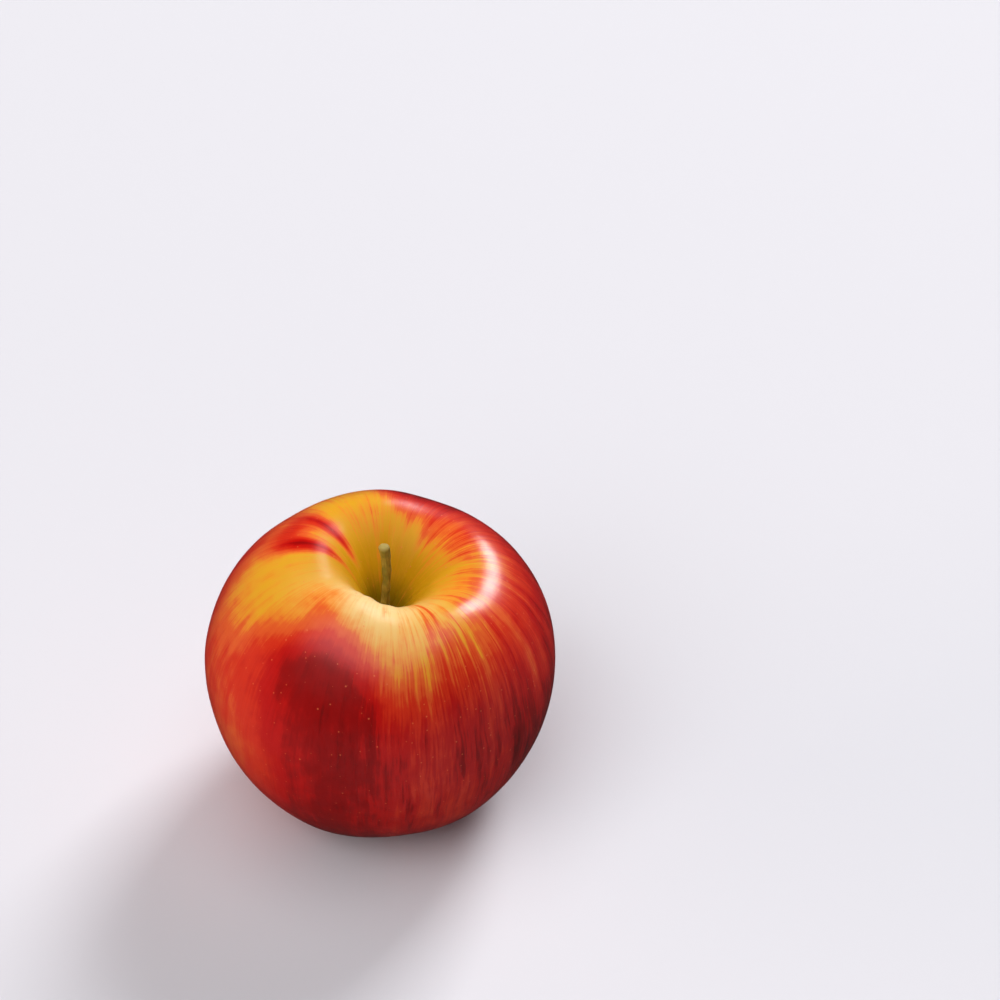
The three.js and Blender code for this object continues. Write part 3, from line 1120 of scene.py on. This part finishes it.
@dataclass
class Calyx:
    """What is left of the flower in the basin: five curled sepals and a tuft of stamens."""

    sepal_sides: int = 12
    sepal_width_mm: float = 3.5
    sepal_thickness_mm: float = 0.3
    sepal_levels: int = 1
    sepal_stations: tuple[tuple[float, float, float], ...] = (
        (0.00, 0.00, 1.00),
        (0.08, -0.10, 1.02),
        (0.22, -0.26, 1.00),
        (0.38, -0.30, 0.92),
        (0.54, -0.10, 0.78),
        (0.70, 0.28, 0.60),
        (0.84, 0.78, 0.38),
        (0.95, 1.25, 0.17),
        (1.00, 1.50, 0.05),
    )
    sepals: tuple[Hang, ...] = (
        Hang(1.12, 4.0),
        Hang(1.0, -9.0),
        Hang(1.18, 7.0),
        Hang(1.05, -3.0),
        Hang(0.95, 10.0),
    )
    root_mm: float = 0.3
    crinkle_mm: float = 0.5
    crinkle_size_mm: float = 1.2
    crinkle_seed_step: float = 3.7
    cupping: float = 38.0
    threads: int = 28
    thread_sides: int = 7
    thread_steps: int = 5
    thread_mm: float = 0.12
    neck_mm: float = 0.108
    head_mm: float = 0.28
    tip_mm: float = 0.14
    rings: int = 4
    ring_share: float = 0.8
    splay: tuple[float, float] = (0.75, 1.1)
    turn_chance: float = 0.2
    swing_chance: float = 0.5
    shortest_thread: float = 0.55
    seed: int = 11

    def model_sepal(self, length: float, reach: float) -> bpy.types.Object:
        """Models one sepal: a flat section, extruded down and curled outwards to a point.

        Args:
            length: how far it hangs down.
            reach: how far its tip stands out from its root.

        Returns:
            The sepal, with its root at the origin and its tip towards -Y.
        """
        stations = [(Vector((0, -out * reach, -share * length)), width)
                    for share, out, width in self.sepal_stations]
        bpy.ops.object.select_all(action="DESELECT")
        bpy.ops.mesh.primitive_circle_add(vertices=self.sepal_sides, fill_type="NGON",
                                          radius=self.sepal_width_mm * MM / 2)
        sepal = bpy.context.object
        with editing(sepal):
            flat = self.sepal_thickness_mm / self.sepal_width_mm
            bpy.ops.transform.resize(value=(1, flat, 1), center_override=(0, 0, 0))
            for (here, width), (there, next_width) in zip(stations, stations[1:]):
                extrude_to(here, there, (next_width / width, 1, 1))
            close_shell()
        apply_subdivision(sepal, self.sepal_levels)
        cup = sepal.modifiers.new("cup", "SIMPLE_DEFORM")
        cup.deform_method = "BEND"
        cup.deform_axis = "Z"
        cup.angle = math.radians(self.cupping)
        take_alone(sepal)
        bpy.ops.object.modifier_apply(modifier=cup.name)
        return sepal

    def build_sepals(self) -> list[bpy.types.Object]:
        """Sets five copies of the sepal round the tuft, each with its own length, lean and crinkles.

        Returns:
            The sepals' meshes, not dressed yet.
        """
        low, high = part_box("dried_stamens")
        middle = (low + high) / 2
        pattern = None
        placed = []
        for number, hang in enumerate(self.sepals, 1):
            solid = points_of(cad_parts[f"sepal_{number}"])
            root = Vector(solid[solid[:, 2] > solid[:, 2].max() - self.root_mm * MM].mean(0))
            tip = Vector(solid[solid[:, 2].argmin()])
            outward = root - middle
            outward.z = 0
            outward.normalize()
            if pattern is None:
                pattern = self.model_sepal(root.z - tip.z, (tip - root).dot(outward))
            sepal = pattern.copy()
            sepal.data = pattern.data.copy()
            sepal.name = f"apple_sepal_{number}"
            bpy.context.collection.objects.link(sepal)
            bearing = math.atan2(outward.y, outward.x) + math.pi / 2
            sepal.matrix_world = (Matrix.Translation(root) @ Matrix.Rotation(bearing, 4, "Z")
                                  @ Matrix.Rotation(math.radians(hang.lean), 4, "Y")
                                  @ Matrix.Diagonal((1, hang.length, hang.length, 1)))
            take_alone(sepal)
            bpy.ops.object.transform_apply(location=True, rotation=True, scale=True)
            points = points_of(sepal)
            crinkles = Unevenness(self.crinkle_mm, self.crinkle_size_mm * MM,
                                  number * self.crinkle_seed_step)
            set_points(sepal, points + np.outer(crinkles.at(points), outward))
            placed.append(sepal)
        bpy.data.objects.remove(pattern)
        return placed

    def build_stamens(self) -> bpy.types.Object:
        """Models the tuft: thin curved threads with small heads, packed in the calyx tube.

        Returns:
            The tuft's mesh, not dressed yet.
        """
        chance = random.Random(self.seed)
        low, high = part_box("dried_stamens")
        middle = (low + high) / 2
        radius = (high.x - low.x) / 2
        inner, outer = self.splay
        stalk = [self.thread_mm] * (self.thread_steps - 2)
        radii = [radius_mm * MM for radius_mm in (*stalk, self.neck_mm, self.head_mm, self.tip_mm)]
        threads = []
        for k in range(self.threads):
            angle = 2 * math.pi * k / self.threads + chance.uniform(-self.turn_chance, self.turn_chance)
            ring = radius * math.sqrt((k % self.rings + 0.5) / self.rings) * self.ring_share
            reach = chance.uniform(self.shortest_thread, 1.0)
            swing = chance.uniform(-self.swing_chance, self.swing_chance)
            route = []
            for step in range(self.thread_steps + 1):
                share = step / self.thread_steps
                turn = angle + swing * share
                out = ring * (inner + (outer - inner) * share * share)
                drop = (high.z - low.z) * reach * share
                route.append(Vector((middle.x + out * math.cos(turn), middle.y + out * math.sin(turn),
                                     high.z - drop)))
            threads.append(grow_stalk("thread", route, radii, self.thread_sides))
        take_alone(threads[0])
        for thread in threads:
            thread.select_set(True)
        bpy.ops.object.join()
        tuft = bpy.context.object
        tuft.name = "apple_stamens"
        return tuft

    def dress(self, sepals: list[bpy.types.Object], tuft: bpy.types.Object) -> None:
        """Gives the sepals and the tuft their finishes.

        Args:
            sepals: the sepals' meshes.
            tuft: the tuft's mesh.
        """
        leaf = DriedSepal().material()
        for number, sepal in enumerate(sepals, 1):
            place(sepal, leaf, Slot.SEPAL, f"sepal_{number}")
        place(tuft, DriedStamen().material(), Slot.STAMEN, "dried_stamens")


# --- The studio -------------------------------------------------------------------------------------


@dataclass(frozen=True)
class SoftBox:
    """One rectangular soft light that faces the apple."""

    where: Light
    bearing: float
    elevation: float
    distance: float
    size: tuple[float, float]
    watts: float
    shines: bool = True
    colour: str = "#ffffff"

    def build(self, target: Vector) -> None:
        """Hangs the light, as seen from the apple.

        Args:
            target: the point that it faces.
        """
        lamp = bpy.data.lights.new(self.where.value, "AREA")
        lamp.shape = "RECTANGLE"
        lamp.size, lamp.size_y = self.size
        lamp.energy = self.watts
        lamp.color = linear(self.colour)[:3]
        holder = bpy.data.objects.new(self.where.value, lamp)
        holder.visible_glossy = self.shines
        bpy.context.collection.objects.link(holder)
        turn, rise = math.radians(self.bearing), math.radians(self.elevation)
        away = Vector((math.cos(turn) * math.cos(rise), math.sin(turn) * math.cos(rise), math.sin(rise)))
        holder.location = target + away * self.distance
        holder.rotation_euler = (-away).to_track_quat("-Z", "Y").to_euler()


@dataclass
class Studio:
    """A plain pale floor, soft light, and a camera that looks down at the apple from the front."""

    floor_colour: str = "#dad9df"
    floor_size: float = 4.0
    wall_colour: str = "#eeedf2"
    air_strength: float = 0.03
    lens_mm: float = 85.0
    sensor_mm: float = 36.0
    camera_distance: float = 0.5296
    camera_height_angle: float = 45.0
    camera_pitch: float = 41.05
    camera_pan: float = 4.06
    lights: tuple[SoftBox, ...] = (
        SoftBox(Light.WINDOW, 54, 37, 5.0, (1.9, 2.2), 225.0),
        SoftBox(Light.OVERHEAD, -130, 80, 5.0, (5.0, 5.0), 120.0),
        SoftBox(Light.FRONT, -130, 45, 5.0, (4.0, 4.0), 105.0, shines=False),
        SoftBox(Light.LEFT, 178, 8, 5.0, (4.0, 2.4), 120.0, shines=False, colour="#ffe9e0"),
    )

    def build(self, middle: Vector) -> None:
        """Sets up the floor, the lights and the camera.

        Args:
            middle: the middle of the apple's box.
        """
        self.lay_floor()
        for light in self.lights:
            light.build(middle)
        self.light_the_air()
        self.aim_camera(middle)

    def lay_floor(self) -> None:
        """Lays the floor that the apple stands on."""
        bpy.ops.object.select_all(action="DESELECT")
        bpy.ops.mesh.primitive_plane_add(size=self.floor_size)
        floor = bpy.context.object
        floor.name = "floor"
        material, tree = new_material("pale_matte_board")
        shader = add(tree, "BsdfPrincipled", {"Base Color": linear(self.floor_colour), "Roughness": 0.9,
                                              "Specular IOR Level": 0.1})
        add(tree, "OutputMaterial", {"Surface": shader})
        floor.data.materials.append(material)
        floor.visible_glossy = False

    def light_the_air(self) -> None:
        """Puts a pale wall far behind everything, which gives off hardly any light."""
        world = bpy.data.worlds.new("studio_wall")
        world.use_nodes = True
        tree = world.node_tree
        tree.nodes.clear()
        seen = add(tree, "LightPath").outputs["Is Camera Ray"]
        strength = add(tree, "MapRange", {"Value": seen, "To Min": self.air_strength, "To Max": 1.0})
        wall = add(tree, "Background", {"Color": linear(self.wall_colour), "Strength": strength})
        add(tree, "OutputWorld", {"Surface": wall})
        bpy.context.scene.world = world

    def aim_camera(self, middle: Vector) -> None:
        """Places the camera above the front, turned so that the apple is low and left in the frame.

        Args:
            middle: the middle of the apple's box.
        """
        camera = bpy.data.cameras.new("camera")
        camera.lens = self.lens_mm
        camera.sensor_width = self.sensor_mm
        holder = bpy.data.objects.new("camera", camera)
        bpy.context.collection.objects.link(holder)
        rise = math.radians(self.camera_height_angle)
        holder.location = middle + self.camera_distance * Vector((0, -math.cos(rise), math.sin(rise)))
        holder.rotation_euler = (math.radians(90 - self.camera_pitch), 0,
                                 -math.radians(self.camera_pan))
        scene = bpy.context.scene
        scene.camera = holder
        scene.view_settings.view_transform = "Standard"
        scene.view_settings.look = "None"


def main() -> None:
    """Builds the apple piece by piece, then the studio round it."""
    logging.basicConfig(level=logging.INFO, format="%(name)s: %(message)s")
    growth = Growth(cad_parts["fruit"])
    fruit = Fruit(growth)
    fruit.dress(fruit.build())
    stem = Stem()
    stem.dress(stem.build())
    calyx = Calyx()
    calyx.dress(calyx.build_sepals(), calyx.build_stamens())
    low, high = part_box("fruit")
    Studio().build((low + high) / 2)


if __name__ == "__main__":
    main()
